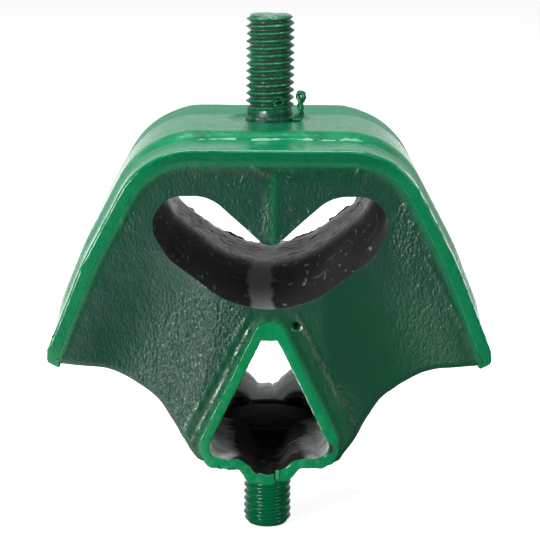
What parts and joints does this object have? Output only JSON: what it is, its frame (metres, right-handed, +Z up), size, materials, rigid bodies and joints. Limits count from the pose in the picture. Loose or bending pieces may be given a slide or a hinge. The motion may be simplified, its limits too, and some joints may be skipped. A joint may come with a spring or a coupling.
{
  "type": "engine mount",
  "caption": "Bonded rubber engine mount: green painted steel saddle over a rubber block on a triangular steel tube, with a threaded stud above and another below.",
  "frame": {"origin": "centre of the lower stud's end face, on the line of both studs", "axes": "+Z up the studs towards the saddle and the upper stud; +Y from the face in the picture to the opposite face; +X to the right in the picture"},
  "size_m": [0.0858, 0.07, 0.1072],
  "materials": {
    "saddle_paint": "glossy green paint on pressed steel, with runs and small chips",
    "tube_paint": "glossy green paint, thin and grey inside the tube",
    "rubber": "black rubber under wrinkled green overspray, bare and scuffed inside the hole",
    "upper_thread_paint": "thin glossy green paint on rolled thread",
    "lower_thread_paint": "thick glossy green paint on rolled thread"
  },
  "bodies": {
    "root": {"outer_bracket": "saddle_paint", "inner_bracket": "tube_paint", "rubber_body": "rubber", "upper_stud": "upper_thread_paint", "lower_stud": "lower_thread_paint"}
  },
  "joints": []
}
